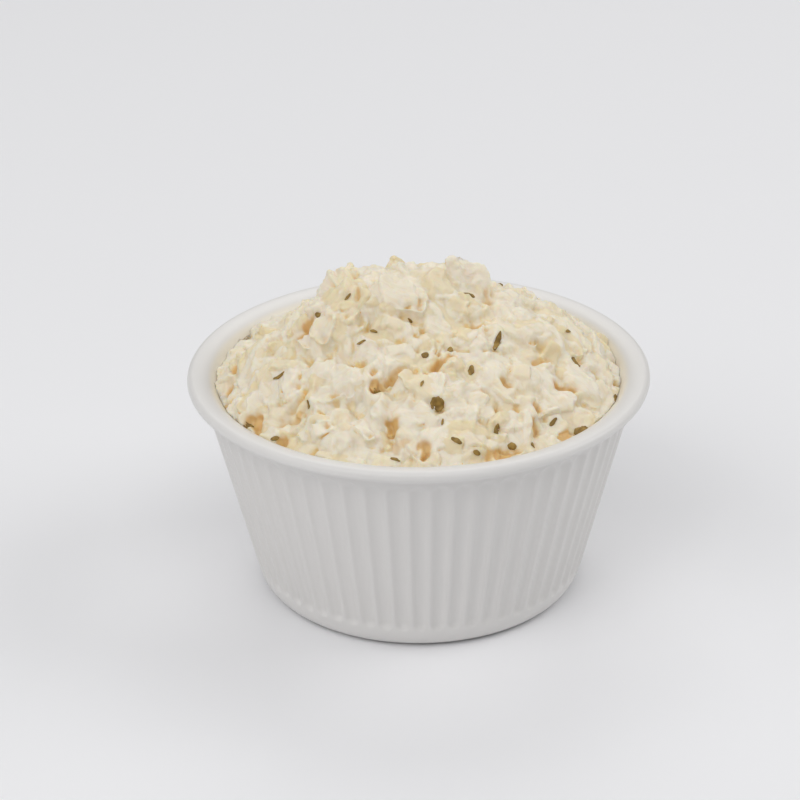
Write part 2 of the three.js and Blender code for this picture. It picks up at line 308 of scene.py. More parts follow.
def inside_outline(gap=0.0):
    """The inside from the lip's top down to the middle of the floor, moved in by a gap."""
    flare_end = RIM_HEIGHT - FLARE_DROP
    corner_top = FLOOR_HEIGHT + INNER_CORNER_RADIUS
    floor = FLOOR_HEIGHT + gap
    flare = curve(
        (RIM_RADIUS - LIP_ROUNDING - gap, RIM_HEIGHT + gap),
        (inner_radius(flare_end) + FLARE_PULL - gap, RIM_HEIGHT + gap),
        (inner_radius(flare_end) - gap, flare_end),
        10,
    )
    corner = curve(
        (inner_radius(corner_top) - gap, corner_top),
        (inner_radius(FLOOR_HEIGHT) - gap, floor),
        (inner_radius(FLOOR_HEIGHT) - INNER_CORNER_RADIUS - gap, floor),
        8,
    )
    return [*flare, *straight(flare[-1], corner[0], 4), *corner, (0, floor)]


print("wall leans", round(math.degrees(WALL_LEAN), 1), "degrees")

# %% The flutes' depth
def flute_depth(angle, height):
    """How deep a flute is at a point of the wall: a bar with round ends, laid along the wall."""
    if not FLUTE_BOTTOM < height < FLUTE_TOP:
        return 0.0
    pitch = 2 * math.pi / FLUTE_COUNT
    aside = ((angle / pitch) % 1 - 0.5) * pitch * wall_radius(height)
    width = pitch * wall_radius(height) - RIB_WIDTH
    cutter = width**2 / (8 * FLUTE_DEPTH) + FLUTE_DEPTH / 2
    reach = math.sqrt(2 * cutter * FLUTE_DEPTH - FLUTE_DEPTH**2)
    past_end = max(0, reach - (height - FLUTE_BOTTOM), reach - (FLUTE_TOP - height))
    inside = cutter**2 - aside**2 - past_end**2
    return max(0.0, math.sqrt(max(0, inside)) - cutter + FLUTE_DEPTH)


def press_flutes(bm):
    normal = Vector((math.cos(WALL_LEAN), 0, -math.sin(WALL_LEAN)))
    for vert in bm.verts:
        radius, height = Vector(vert.co.xy).length / MM, vert.co.z / MM
        if abs(radius - wall_radius(height)) > 0.01:
            continue
        angle = math.atan2(vert.co.y, vert.co.x)
        inward = Matrix.Rotation(angle, 3, "Z") @ normal
        vert.co -= inward * flute_depth(angle, height) * MM


print("middle of a flute:", round(flute_depth(math.pi / FLUTE_COUNT, 20), 2), "mm deep")

# %% The ramekin's mesh
FLUTE_ENDS = (7, 37.4)
CLOSE_ROWS = 0.3
WIDE_ROWS = 3.5


def ramekin_outline():
    """The outline, with close rows of points at the flutes' round ends and wide ones between them."""
    lip = (RIM_RADIUS - LIP_ROUNDING, RIM_HEIGHT - LIP_ROUNDING)
    wall_top = FLUTE_TOP + CLOSE_ROWS
    low_end, high_end = FLUTE_ENDS
    foot = curve((FOOT_OUTER_RADIUS, 0), (wall_radius(0), 0), WALL_LOW, 10)
    close_low = np.arange(FLUTE_BOTTOM, low_end, CLOSE_ROWS)
    close_high = np.arange(high_end, wall_top, CLOSE_ROWS)
    wide = np.arange(low_end + 1, 37, WIDE_ROWS)
    wall = [(wall_radius(height), height) for height in (*close_low, *wide, *close_high)]
    under_lip = curve((wall_radius(wall_top), wall_top), (wall_radius(41), 41.6), (lip[0] + 0.2, 42.3), 6)
    return [
        (0, FOOT_RECESS),
        (FOOT_INNER_RADIUS - 1.4, FOOT_RECESS),
        (FOOT_INNER_RADIUS - 0.9, FOOT_RECESS - 0.15),
        (FOOT_INNER_RADIUS - 0.3, 0.12),
        (FOOT_INNER_RADIUS, 0),
        *foot,
        *wall,
        *under_lip,
        *arc(*lip, LIP_ROUNDING, -70, 80, 10),
        *inside_outline(),
    ]


ramekin_bm = spin_outline(ramekin_outline(), FLUTE_COUNT * STEPS_PER_FLUTE)
press_flutes(ramekin_bm)
print("ramekin:", len(ramekin_bm.faces), "faces")

# %% [markdown]
# ## The melamine
#
# Melamine is a hard white plastic with a soft gloss, a little warmer than the table. Its surface is
# almost flat, so its detail is small: a faint unevenness in the colour and the gloss from washing. Next
# to the slaw, a painted yellowish reflection of the slaw lies on the inside of the wall.

# %% Melamine
def melamine():
    material, tree, shader = new_material("melamine")
    place = add_node(tree, "ShaderNodeTexCoord").outputs["Object"]
    wash = add_noise(tree, place, 35, 2)
    plain_white = add_mix(tree, wash, linear(225, 223, 220), linear(228, 226, 224))
    parts = add_node(tree, "ShaderNodeSeparateXYZ", {"Vector": place}).outputs
    flat_place = add_node(tree, "ShaderNodeCombineXYZ", {"X": parts["X"], "Y": parts["Y"]})
    radius = add_node(tree, "ShaderNodeVectorMath", {0: flat_place.outputs["Vector"]}, operation="LENGTH")
    # painted reflection: the inside of the wall is coloured yellower where it meets the slaw
    above = add_ramp(tree, parts["Z"], 41.6 * MM, 42.2 * MM)
    beside = add_ramp(tree, radius.outputs["Value"], 40.8 * MM, 39.5 * MM)
    painted_slaw_reflection = add_node(tree, "ShaderNodeMath", {0: above, 1: beside}, operation="MULTIPLY").outputs["Value"]
    colour = add_mix(tree, painted_slaw_reflection, plain_white, linear(231, 225, 212))
    wire(tree, shader, {"Base Color": colour, "Roughness": add_range(tree, wash, 0.3, 0.4)})
    return material


finish_piece(ramekin_bm, "fluted_ramekin", "ramekin", melamine())

# %% [markdown]
# ## The heap
#
# Coleslaw is a heap of chopped leaf, shreds and bits, stuck together by the dressing that coats them. The
# heap is strewn by the same rule as the solid one, so that its outline is kept: a bare core, the larger
# pieces that stand out in the photograph, and pieces spread on a spiral. More pieces follow between them.

# %% The heap's form, in millimetres
BED_RADIUS = 38.2
BED_HEIGHT = 41.2
DOME_HEIGHT = 15.9
DOME_POWER = 1.9
MOUNDS = [
    {"x": -15, "y": 1, "spread": (23, 12), "height": 6.6, "power": 2},  # the flat-topped clump
    {"x": 24, "y": 5, "spread": (15, 15), "height": 2.7, "power": 1},  # right shoulder
    {"x": -27, "y": 6, "spread": (9, 9), "height": -7.9, "power": 1},  # hollow beside the clump
]
MOUND_FADE = 6


def core_height(x, y):
    share = min(1, math.hypot(x, y) / BED_RADIUS)
    height = BED_HEIGHT + DOME_HEIGHT * (1 - share**DOME_POWER)
    for mound in MOUNDS:
        spread_x, spread_y = mound["spread"]
        away = ((x - mound["x"]) / spread_x) ** 2 + ((y - mound["y"]) / spread_y) ** 2
        height += mound["height"] * math.exp(-(away ** mound["power"])) * (1 - share**MOUND_FADE)
    return height


def core_normal(x, y):
    step = 0.5
    along_x = (core_height(x + step, y) - core_height(x - step, y)) / (2 * step)
    along_y = (core_height(x, y + step) - core_height(x, y - step)) / (2 * step)
    return Vector((-along_x, -along_y, 1)).normalized()


print("top of the core:", round(max(core_height(x, 2) for x in range(-20, 20)), 1), "mm")

# %% [markdown]
# ## Chopped pieces
#
# A piece of leaf is a thin sheet that is cupped and rippled, a shred is a narrow strip that arches and
# twists, and a bit is a small block. A grid bent by a rule and then thickened makes the first two, which
# keeps one short rule for each kind. The dressing rounds every cut edge, so the rim is smoothed. Every piece
# starts flat round the origin, in millimetres, and remembers as its "grain" where each point lay along and
# across the piece, for the grooves of the leaf.

# %% A thin sheet
GRID_STEP = 0.5
SHARP_EDGE = 1  # radians


def mean_height(bm):
    return sum(vert.co.z for vert in bm.verts) / len(bm.verts)


def smooth(bm, verts, times):
    axes = {"use_axis_x": True, "use_axis_y": True, "use_axis_z": True}
    for _ in range(times):
        bmesh.ops.smooth_vert(bm, verts=verts, factor=0.5, **axes)


def sheet(length, width, thickness, bend):
    """A grid bent by a rule on u and v, which go from -0.5 to 0.5, and thickened both ways."""
    bm = grid(length, width, GRID_STEP)
    grain = bm.verts.layers.float_vector.new("grain")
    for vert in bm.verts:
        vert.co = bend(vert.co.x, vert.co.y)
        vert[grain] = vert.co
    middle = mean_height(bm)
    bmesh.ops.solidify(bm, geom=bm.faces[:], thickness=thickness)
    bmesh.ops.translate(bm, verts=bm.verts[:], vec=(0, 0, middle - mean_height(bm)))
    face_outwards(bm)
    rim = {vert for edge in bm.edges if edge.calc_face_angle(0) > SHARP_EDGE for vert in edge.verts}
    smooth(bm, list(rim), 2)
    return bm


# %% One chopped piece of each kind
# The length, width and lift are drawn between two limits, and so is the thickness of a bit. The lean is the
# most that a piece tips either way, in radians.
Cut = namedtuple("Cut", "length width thickness lift lean", defaults=(None, None))
FLAKE_TURN = 0.3


def leaf(size, draw):
    length, width = draw(*size.length), draw(*size.width)
    cup = draw(-0.022, 0.034)
    ripple = draw(0.2, 0.7)
    phase = draw(0, 6)
    skew = draw(-0.5, 0.5)
    taper = 0.3 * math.sin(9 * phase)

    def bend(u, v):
        x = length * u * (1 - 0.7 * v * v) + skew * width * v
        y = width * v * (1 - 1.1 * u * u) * (1 + taper * 2 * u)
        ragged = noise.noise(Vector((0.8 * x, 0.8 * y, 7 * phase)))
        torn = noise.noise(Vector((1.9 * x, 1.9 * y, 5 * phase)))
        x, y = x * (1 + 0.14 * ragged + 0.08 * torn), y * (1 + 0.2 * ragged + 0.14 * torn)
        grooves = 0.12 * math.sin(4.2 * y + 2 * ragged) * math.sin(phase)
        lift = ripple * math.sin(0.55 * x + phase) * (v + 0.3) + 0.3 * ragged + grooves
        return Vector((x, y, lift - cup * x * x - 0.02 * y * y))

    return sheet(length, width, size.thickness, bend)


def upright_flake():
    """The flake with straight cuts that stands up on top, by its two sides' places at some heights."""
    heights = (-2, 2, 3.1, 3.8, 6.5, 6.8, 7.8)
    left_side = (-3.1, -3.4, -3.7, -4, -5.4, -5.5, -4.1)
    right_side = (4.5, 4.5, 4.3, 4.1, 1.8, 1.1, -2.2)

    def bend(u, v):
        y = heights[0] + (heights[-1] - heights[0]) * (v + 0.5)
        left, right = np.interp(y, heights, left_side), np.interp(y, heights, right_side)
        x = left + (right - left) * (u + 0.5)
        ragged = noise.noise(Vector((0.9 * x, 0.9 * y, 3)))
        cosine, sine = math.cos(FLAKE_TURN), math.sin(FLAKE_TURN)
        x, y = x * cosine - y * sine, x * sine + y * cosine
        return Vector((x + 0.8 + 0.5 * ragged, y - 4, 0.5 * ragged + 0.03 * x * x - 0.02 * y * y))

    return sheet(9, 10, 1.2, bend)


def shred(size, draw):
    length, width = draw(*size.length), draw(*size.width)
    arch = draw(0.008, 0.03)
    sway = draw(-0.025, 0.025)
    twist = draw(-0.05, 0.05)

    def bend(u, v):
        x = length * u
        y = width * v * (1 - 1.1 * u * u)
        ragged = noise.noise(Vector((0.7 * x, 0.7 * y, 9 * length)))
        lift = twist * x * y - arch * x * x + 0.3 * ragged
        return Vector((x, y * (1 + 0.3 * ragged) + sway * x * x, lift))

    return sheet(length, width, size.thickness, bend)


def bit(size, draw):
    length, width = draw(*size.length), draw(*size.width)
    height = draw(*size.thickness)
    taper = draw(0.6, 0.9)
    bm = bmesh.new()
    bmesh.ops.create_cube(bm, size=1.1)
    bmesh.ops.subdivide_edges(bm, edges=bm.edges[:], cuts=2, use_grid_fill=True)
    smooth(bm, bm.verts[:], 1)
    for vert in bm.verts:
        uneven = 1 + 0.35 * noise.noise(vert.co * 1.7 + Vector((0, 0, 5 * length)))
        narrow = taper if vert.co.z > 0 else 1
        vert.co.x *= length * narrow * uneven
        vert.co.y *= width * narrow * uneven
        vert.co.z *= height * uneven
    return bm


sample = leaf(Cut((9, 9), (6, 6), 1.3), seeded_draw(1))
print("one leaf:", len(sample.faces), "faces")
sample.free()

# %% [markdown]
# ## Strewing
#
# A piece lies on the core with its own Z along the core's normal, so a heap of flat pieces follows the dome
# as real ones do. Spots on a spiral that turns by the golden angle are evenly spread, which looks strewn
# and leaves no bald patch, unlike spots drawn at random. The pieces that the eye knows again are laid one
# by one: a flake that stands up on top, the broad leaves, and the fans of thin leaf that stayed together.

# %% Lay pieces on the heap
LEAF = Cut((7, 11.5), (4.5, 7), 0.9, (0.6, 1.5), 0.35)
SHRED = Cut((7, 13), (1.8, 3), 1.1, (0.8, 1.7), 0.3)
BIT = Cut((3, 5.4), (2.4, 3.8), (1.2, 1.8), (0.6, 1.4), 0.28)
SEED = 20260
PIECE_COUNT = 86
GOLDEN_ANGLE = math.pi * (3 - math.sqrt(5))
SPREAD_RADIUS = BED_RADIUS - 2
RADIUS_NUDGE = (-0.8, 0.8)
ANGLE_NUDGE = (-0.12, 0.12)

# x, y, lift, length and width in millimetres, then heading, tip and rise in degrees
STAND_OUTS = [
    (9, 3, 3.2, 8.5, 7.5, 0, 74, 0),  # upright flake on top
    (-15, 1, 1.4, 9, 8, 70, -14, -8),  # curled, top left
    (-5, 1, 0.6, 11, 7, 12, 10, 0),  # curled, top middle
    (9, -4, 0.9, 13, 7, 0, 10, 0),  # domed, below the flake
    (17, -12, 0.8, 14, 9, -35, 0, 4),  # broad, right of centre
    (32, -7, 0.7, 12, 7, 35, 0, 0),  # right edge
    (10, -31, 1.0, 11, 3.6, -4, 16, 0),  # strip, front
    (20, -25, 1.4, 12, 2.6, 84, 0, 6),  # strand, front right
    (17, -32, 0.6, 12, 3, 22, 24, 0),  # crescent at the rim
    (-13, -33, 0.8, 15, 6, -18, 8, 0),  # long, front left
    (-28, -21, 1.0, 10, 5, -30, 12, 8),  # ragged, left front
    (-29, -7, 0.8, 12, 7, 50, 6, 0),  # left edge
    (-16, -20, 0.9, 12, 8, 20, -6, 0),  # fan, left of centre
    (-3, -28, 0.9, 11, 7, -12, 4, 0),  # slab, front middle
]


def lay_on_heap(piece, x, y, lift, heading, tip, rise):
    """Turns a piece about the core's normal, leans it, and sets it on the core. Angles are in radians."""
    normal = core_normal(x, y)
    upright = UP.rotation_difference(normal)
    lean = Quaternion((1, 0, 0), tip) @ Quaternion((0, 1, 0), rise)
    rotation = upright @ Quaternion(UP, heading) @ lean
    place = Vector((x, y, core_height(x, y))) + normal * lift
    bmesh.ops.transform(piece, matrix=Matrix.LocRotScale(place, rotation, None), verts=piece.verts[:])
    return piece


def lay_strewn(make, size, radius, angle, draw, heading=0, sway=(0, 2 * math.pi)):
    """Lays one piece at a place round the axis, with the rest of it drawn."""
    piece = make(size, draw)
    lift, turn = draw(*size.lift), heading + draw(*sway)
    tip, rise = (draw(-size.lean, size.lean) for _ in range(2))
    return lay_on_heap(piece, radius * math.cos(angle), radius * math.sin(angle), lift, turn, tip, rise)


def spread_over_heap(count, kinds, draw):
    """Pieces on a spiral from the middle of the heap outwards, with the kinds in turn."""
    pieces = []
    for i in range(count):
        radius = SPREAD_RADIUS * math.sqrt((i + 0.5) / count) + draw(*RADIUS_NUDGE)
        angle = i * GOLDEN_ANGLE + draw(*ANGLE_NUDGE)
        make, size = kinds[i % len(kinds)]
        pieces.append(lay_strewn(make, size, radius, angle, draw))
    return pieces


def lay_by_hand(places, draw, thickness=LEAF.thickness):
    pieces = []
    for x, y, lift, length, width, *turns in places:
        piece = leaf(Cut((length, length), (width, width), thickness), draw)
        pieces.append(lay_on_heap(piece, x, y, lift, *map(math.radians, turns)))
    return pieces


draw = seeded_draw(SEED)
stand_outs = lay_by_hand(STAND_OUTS, draw)
flake_x, flake_y, flake_lift, _, _, *flake_turns = STAND_OUTS[0]
stand_outs[0].free()
stand_outs[0] = lay_on_heap(upright_flake(), flake_x, flake_y, flake_lift, *map(math.radians, flake_turns))
strewn = spread_over_heap(PIECE_COUNT, [(leaf, LEAF), (bit, BIT), (shred, SHRED), (bit, BIT)], draw)
leaves, bits, shreds = [*stand_outs, *strewn[0::4]], strewn[1::2], strewn[2::4]
print(len(leaves), "leaves,", len(bits), "bits and", len(shreds), "shreds of the solid heap")

# %% Smaller and thinner pieces
SMALL_LEAF = Cut((4, 8.5), (3, 5.5), 0.9, (0.5, 1.2), 0.22)
SMALL_SHRED = Cut((4, 9), (1.2, 2.2), 1.0, (0.6, 1.3), 0.2)
CRUMB = Cut((2.2, 4.6), (1.8, 3.4), (0.7, 1.2), (0.3, 1), 0.28)
WALL_LEAF = Cut((3.5, 7), (2.5, 4.5), 1.0, (0.3, 1.1), 0.3)
SMALL_COUNT = 130
CRUMB_COUNT = 90
WALL_COUNT = 90
SMOOTH_THICKNESS = 1.1
SMOOTH_LEAVES = [
    (-14, -5, 1.6, 11, 8, 8, 4, -6),  # upper left of the clump
    (-3, -5.5, 1.6, 10, 7, -16, 6, 0),  # upper middle
    (4, -1, 1.6, 7, 6, 40, 14, 0),  # beside the flake
    (-17, -9, 1.9, 7, 4.5, 50, 10, 0),  # below the clump
    (-22, -17, 1.5, 8, 5.5, 72, 8, 0),  # folded, left
    (30, -13, 1.5, 9, 6, -24, 8, 0),  # facet, right
    (3, -33, 1.2, 8, 5.5, 62, 0, 10),  # front
    (27, 8, 1.5, 9, 6, 120, 0, 0),  # right shoulder
]

BACK_LEAVES = [
    (-34.3, 17, 1.2, 8, 5, 63, 0, 0),  # these two close a gap beside the wall
    (-32, 21.4, 1.2, 8, 5, 56, 0, 0),
]

# x, y, length and width in millimetres, heading in degrees and the number of leaves
FANS = [
    (-28.5, -9, 12, 3.6, 38, 6),
    (-31, -15, 9, 3.2, 58, 4),
    (26.5, -3, 11, 3.4, -34, 6),
    (5, 19, 11, 3.4, 20, 5),
    (-22, 14, 10, 3.2, -40, 5),
    (20, 22, 10, 3.2, 75, 5),
]
WALL_BAND = (36.4, 38.5)
WALL_SWAY = (-0.5, 0.5)
FAN_STEP = 1.35
FAN_THICKNESS = 0.7
FAN_LIFT = 1.5
FAN_SWAY = (-0.1, 0.1)
FAN_TIP = math.radians(24)


def fan(x, y, length, width, heading, count, draw):
    """Thin leaves that lie side by side like shingles."""
    size = Cut((length * 0.85, length), (width, width), FAN_THICKNESS)
    across = Vector((-math.sin(heading), math.cos(heading)))
    pieces = []
    for i in range(count):
        place = Vector((x, y)) + across * (i - (count - 1) / 2) * FAN_STEP
        turn = heading + draw(*FAN_SWAY)
        pieces.append(lay_on_heap(leaf(size, draw), *place, FAN_LIFT, turn, FAN_TIP, 0))
    return pieces


def line_the_wall(count, size, draw):
    """Leaves that lie along the ramekin's inside, all the way round."""
    pieces = []
    for i in range(count):
        angle = 2 * math.pi * (i + draw()) / count
        radius = draw(*WALL_BAND)
        pieces.append(lay_strewn(leaf, size, radius, angle, draw, angle + math.pi / 2, WALL_SWAY))
    return pieces


fill_draw = seeded_draw(SEED + 1)
leaves += lay_by_hand(SMOOTH_LEAVES, fill_draw, SMOOTH_THICKNESS)
for x, y, length, width, heading, count in FANS:
    leaves += fan(x, y, length, width, math.radians(heading), count, fill_draw)
small_kinds = [(leaf, SMALL_LEAF), (leaf, SMALL_LEAF), (shred, SMALL_SHRED)]
small = spread_over_heap(SMALL_COUNT, small_kinds, fill_draw)
leaves += small[0::3] + small[1::3] + line_the_wall(WALL_COUNT, WALL_LEAF, fill_draw)
shreds += small[2::3]
bits += spread_over_heap(CRUMB_COUNT, [(bit, CRUMB)], fill_draw)
leaves += lay_by_hand(BACK_LEAVES, fill_draw)
print(len(leaves), "leaves,", len(bits), "bits and", len(shreds), "shreds in all")

# %% [markdown]
# ## The dressed heap
#
# The creamy dressing fills the corners between the pieces and rounds their edges. Joining them all with a
# Boolean would keep every edge sharp, so the pieces and a core are melted together with a voxel remesh
# instead, a little smoothing gives the soft fillets, and a decimation drops the points that flat places
# don't need. Only what shows over the rim needs the fine mesh, so the rest is cut off and its edge is drawn
# down along the ramekin's inside.

# %% Gather the loose pieces
PALENESS = 1.6


def gather(bm, pieces, choose_tint):
    """Adds pieces to a bmesh in metres, each with a tint from 0, pale, to 1, yellow."""
    mesh = bpy.data.meshes.new("piece")
    for piece in pieces:
        tint = piece.verts.layers.float.new("tint")
        value = choose_tint()
        for vert in piece.verts:
            vert[tint] = value
        bmesh.ops.scale(piece, vec=(MM, MM, MM), verts=piece.verts[:])
        piece.to_mesh(mesh)
        bm.from_mesh(mesh)
        piece.free()
    bpy.data.meshes.remove(mesh)


tint_draw = seeded_draw(SEED + 2)
loose_bm = bmesh.new()
loose_bm.verts.layers.float_vector.new("grain")
loose_bm.verts.layers.float.new("tint")
gather(loose_bm, [*leaves, *shreds, *bits], lambda: tint_draw() ** PALENESS)
print("loose pieces:", len(loose_bm.faces), "faces")

# %% [markdown]
# ## How high the heap stands
#
# The height of the heap's surface is measured on a fine grid by rays from above, its narrow gaps are filled,
# and it is smoothed by a bell curve. The dressing settles a little below that surface, so the core is made
# from it and no gap is deeper than the real ones.

# %% A map of the heap's height, in millimetres
CELL = 0.3
MAP_REACH = 42
MAP_TOP = 90
TICKS = np.arange(-MAP_REACH, MAP_REACH, CELL)


def height_map(tree):
    """Heights on a grid of cells, with the bare core's own height where there is no slaw."""
    heights = np.empty((len(TICKS), len(TICKS)))
    for i, y in enumerate(TICKS):
        for j, x in enumerate(TICKS):
            hit = tree.ray_cast(Vector((x, y, MAP_TOP)) * MM, -UP)[0]
            heights[i, j] = hit.z / MM if hit else core_height(x, y)
    return heights


def blurred(heights, radius):
    """Smooths a map by a bell curve, in the way of frequencies, where smoothing is a multiplication."""
    waves = np.fft.fftfreq(len(heights), CELL) * 2 * math.pi
    keep = np.exp(-0.5 * (waves * radius) ** 2)
    return np.fft.ifft2(np.fft.fft2(heights) * keep[:, None] * keep[None, :]).real


def spread(heights, reach, choose):
    """The highest or the lowest height within a reach of each cell, found one ring of cells at a time."""
    for step in range(round(reach / CELL)):
        rows = choose([np.roll(heights, shift, 0) for shift in (-1, 0, 1)], axis=0)
        base = rows if step % 2 else heights
        columns = choose([np.roll(base, shift, 1) for shift in (-1, 0, 1)], axis=0)
        heights = choose([rows, columns], axis=0)
    return heights


def height_at(heights, points):
    """The map's height at each point (x, y), between the cells round it."""
    cells = np.clip((np.asarray(points) + MAP_REACH) / CELL, 0, len(heights) - 1.001)
    (j, i), (sx, sy) = np.floor(cells).astype(int).T, (cells % 1).T
    near = heights[i, j] * (1 - sx) + heights[i, j + 1] * sx
    far = heights[i + 1, j] * (1 - sx) + heights[i + 1, j + 1] * sx
    return near * (1 - sy) + far * sy


FILLED_GAP = 2.1
MAP_ROUNDING = 0.5
pieces_map = height_map(BVHTree.FromBMesh(loose_bm))
pieces_map = blurred(spread(spread(pieces_map, FILLED_GAP, np.max), FILLED_GAP, np.min), MAP_ROUNDING)
print("the pieces reach from", pieces_map.min().round(1), "to", pieces_map.max().round(1), "mm")

# %% [markdown]
# ## Thin flakes under the dressing
#
# Most of the cabbage is cut into thin flakes that lie flat on each other, half drowned in dressing. They
# are too many to model one by one, but from above each is only a flat plate with a few straight cuts, so
# they are laid one after another on a map. A plate rests on what is there already, is as high as it is
# thick, and leans a little. After each round the dressing soaks in, so the older plates lose their edges.
# The map also keeps how yellow the topmost plate is and which way its grain runs. Last come the open pits
# of the photograph, and a few like them behind.

# %% A map of thin flakes, in millimetres
FLAKE_ROUNDS = 4
FLAKES_PER_ROUND = 170
FLAKE_LENGTH = (3.5, 9.5)
FLAKE_SHAPE = (0.4, 0.9)
FLAKE_THICKNESS = (0.4, 0.85)
FLAKE_SIDES = 5
SIDE_TURN = (-0.3, 0.3)
SIDE_DISTANCE = (0.6, 1)
SIZE_SWING = 0.9
SIZE_WAVES = 0.13
FLAKE_LEAN = 0.1
FLAKE_REST = 0.6
EDGE_WIDTH = 0.3
RAGGEDNESS = 0.16
RAGGED_FROM = 0.4
RAGGED_TO = 1.5
SOAK = 0.15
EVEN_OUT = 3.0

# x, y, length and width in millimetres, heading in degrees and depth in millimetres
PITS = [
    (-21.3, -8.2, 4.6, 3, 40, 2.4),  # at the foot of the clump
    (11.1, -8.2, 4, 2.2, 0, 1.3),  # below the upright flake
    (13.6, 1.4, 2, 3, 0, 1.2), (4.7, -18.4, 6.8, 1.8, 40, 1.6), (-5.3, -22, 6.5, 2, 27, 1.2),
    (-8, -23.4, 2, 2.2, 0, 1.4), (-5.1, -31, 3, 3.2, 0, 1.8), (-3.8, -34.2, 7, 2.6, 0, 0.9),
    (0.9, -36.1, 2.6, 3, 0, 1.5),
    (15.6, -34.2, 8.5, 2, 25, 1.8),  # crescent at the rim
    (16.3, -20.8, 2.6, 2, -20, 1.8), (23.7, -11.8, 7, 1.4, 38, 1.3), (27.3, -16.4, 3.8, 1.8, 6, 1.8),
    (22, -23.6, 1.6, 2.2, 0, 1.6), (21.5, -27.2, 1.2, 2.6, 0, 1.4), (26.9, -26.3, 4.5, 1.8, 45, 1.6),
    (38.1, 4.3, 1.2, 4, 0, 1.6), (37.8, -4.1, 1.2, 4, 0, 1.6), (11.8, -24, 3.6, 1, 0, 1.1),
    (14.3, -25.7, 0.9, 2.4, 0, 1.3), (-11.2, -7.2, 1.2, 2.4, 0, 1.2), (-17.2, -15.1, 2, 2, 0, 1.3),
    (-10.5, -17.8, 2.2, 2.4, 0, 1.4), (-17, -29.4, 1.4, 1.4, 0, 1.2), (-35.4, -4.1, 2.6, 1.6, -50, 1.5),
    (-35.7, -7.7, 3, 2.4, -50, 1.7), (-36.2, -13.2, 3.6, 1, -60, 1.5),
    (-30.8, -21.6, 4.4, 2.6, -50, 2.2),  # dark pit at the left rim
    (-23.8, -24.3, 4.5, 2.2, 0, 1.2), (-25.4, -27.8, 1.8, 1.4, 0, 1.4),
    (-18, 25, 4, 2, 30, 1.5),  # the rest lie behind
    (4, 28, 3, 2.4, 80, 1.6), (20, 25, 5, 1.8, -20, 1.5), (-7, 34, 4, 1.8, 10, 1.5),
    (30, 20, 3, 2, 50, 1.5), (14, 34, 2.4, 2, 0, 1.4),
]


def local_axes(window, x, y, heading):
    """Coordinates along and across something at x, y for the cells of a window of the map."""
    down, across = np.meshgrid(TICKS[window[0]] - y, TICKS[window[1]] - x, indexing="ij")
    cosine, sine = math.cos(heading), math.sin(heading)
    return across * cosine + down * sine, down * cosine - across * sine


def cells_round(x, y, reach):
    row, column = (round((value + MAP_REACH) / CELL) for value in (y, x))
    cells = int(reach / CELL)
    return np.s_[max(0, row - cells) : row + cells + 1, max(0, column - cells) : column + cells + 1]


def lay_flake(relief, tint, heading, ragged, draw):
    """Lays one plate with straight cuts on the relief, and marks its own tint and heading there."""
    x, y = (draw(-BED_RADIUS, BED_RADIUS) for _ in range(2))
    swing = SIZE_SWING * noise.noise(Vector((x, y, 0)) * SIZE_WAVES)
    size = draw(*FLAKE_LENGTH) * (1 + swing) / 2
    window = cells_round(x, y, 1.4 * size)
    turn, shape = draw(0, math.pi), draw(*FLAKE_SHAPE)
    u, v = local_axes(window, x, y, turn)
    cuts = []
    for side in range(FLAKE_SIDES):
        angle = 2 * math.pi * (side + draw(*SIDE_TURN)) / FLAKE_SIDES
        distance = size * draw(*SIDE_DISTANCE)
        cuts.append(u * math.cos(angle) + v / shape * math.sin(angle) - distance)
    outside = np.max(cuts, axis=0) + ragged[window]
    bed = relief[window]
    inside = outside < 0
    if not inside.any():
        return
    rest = bed[inside].mean() * FLAKE_REST + bed * (1 - FLAKE_REST)
    lean = (draw(-FLAKE_LEAN, FLAKE_LEAN) for _ in range(2))
    thickness = draw(*FLAKE_THICKNESS)
    plate = rest + next(lean) * u + next(lean) * v + thickness * np.clip(-outside / EDGE_WIDTH, 0, 1)
    shows = inside & (plate > bed)
    bed[shows] = plate[shows]
    tint[window][shows] = draw()
    heading[window][shows] = turn


def flake_maps(draw):
    shape = (len(TICKS), len(TICKS))
    relief, tint, heading = (np.zeros(shape) for _ in range(3))
    grit = np.random.default_rng(SEED).normal(size=shape)
    ragged = blurred(grit, RAGGED_FROM) - blurred(grit, RAGGED_TO)
    ragged *= RAGGEDNESS / ragged.std()
    for _ in range(FLAKE_ROUNDS):
        relief = blurred(relief, SOAK)
        for _ in range(FLAKES_PER_ROUND):
            lay_flake(relief, tint, heading, ragged, draw)
    relief -= blurred(relief, EVEN_OUT)
    pits = np.zeros(shape)
    for x, y, length, width, turn, depth in PITS:
        window = cells_round(x, y, length)
        u, v = local_axes(window, x, y, math.radians(turn))
        away = (2 * u / length) ** 2 + (2 * v / width) ** 2 + 2 * ragged[window]
        pits[window] += depth * np.exp(-np.clip(away, 0, None) ** 2)
    return relief, tint, heading, pits


flake_relief, flake_tint, flake_heading, pit_depths = flake_maps(seeded_draw(SEED + 3))
print("the flakes' relief:", np.percentile(flake_relief, (2, 25, 50, 75, 98)).round(2), "mm")

# %% A core of mince and dressing
NO_TINT = -1.0
CORE_DROP = 0.45
CORE_EDGE = (40.4, 43.2)
CORE_DEPTH = 9
CORE_OVERLAP = 1.1
CORE_SLOPE = 2.6
CORE_LUMPS = 0.5
CORE_WAVES = 0.4
CORE_RINGS = 70
CORE_STEPS = 200


